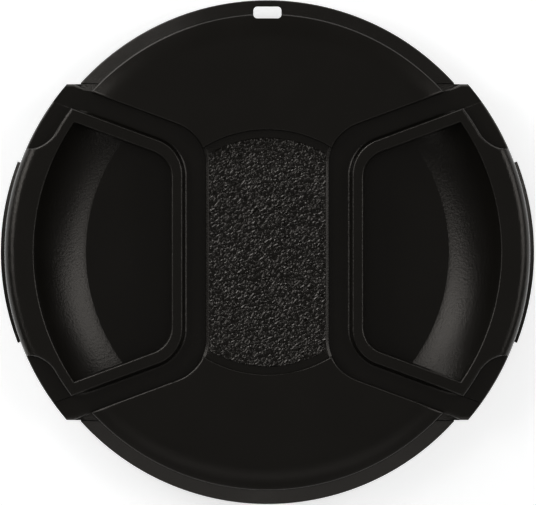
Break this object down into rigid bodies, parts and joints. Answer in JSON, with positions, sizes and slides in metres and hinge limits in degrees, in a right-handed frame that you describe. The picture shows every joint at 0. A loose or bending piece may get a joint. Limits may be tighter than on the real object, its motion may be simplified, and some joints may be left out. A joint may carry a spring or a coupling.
{
  "type": "lens cap",
  "caption": "Round clip-on lens cap with sprung pinch clips, scooped finger wells, a textured centre panel and a tether slot.",
  "frame": {"origin": "middle of the cap on the outside of the back cover, which is the surface it lies on", "axes": "+Z out of the face, X along the clips' travel, +Y towards the tether slot"},
  "size_m": [0.062, 0.0584, 0.0071],
  "materials": {
    "cover_plastic": "black moulded plastic, fine spark-eroded grain",
    "clip_plastic": "black moulded plastic, fine satin grain",
    "spring_steel": "bright drawn spring wire"
  },
  "bodies": {
    "housing": {"front_cover": "cover_plastic", "back_cover": "cover_plastic", "left_spring": "spring_steel", "right_spring": "spring_steel"},
    "left_clip": {"left_clip": "clip_plastic"},
    "right_clip": {"right_clip": "clip_plastic"}
  },
  "joints": [
    {"name": "left_pinch", "type": "slide", "parent": "housing", "child": "left_clip", "axis": [1, 0, 0], "range_m": [0, 0.00245], "stiffness_N_per_m": 600, "springref_m": -0.003, "deforming": ["left_spring"]},
    {"name": "right_pinch", "type": "slide", "parent": "housing", "child": "right_clip", "axis": [-1, 0, 0], "range_m": [0, 0.00245], "stiffness_N_per_m": 600, "springref_m": -0.003, "deforming": ["right_spring"]}
  ]
}
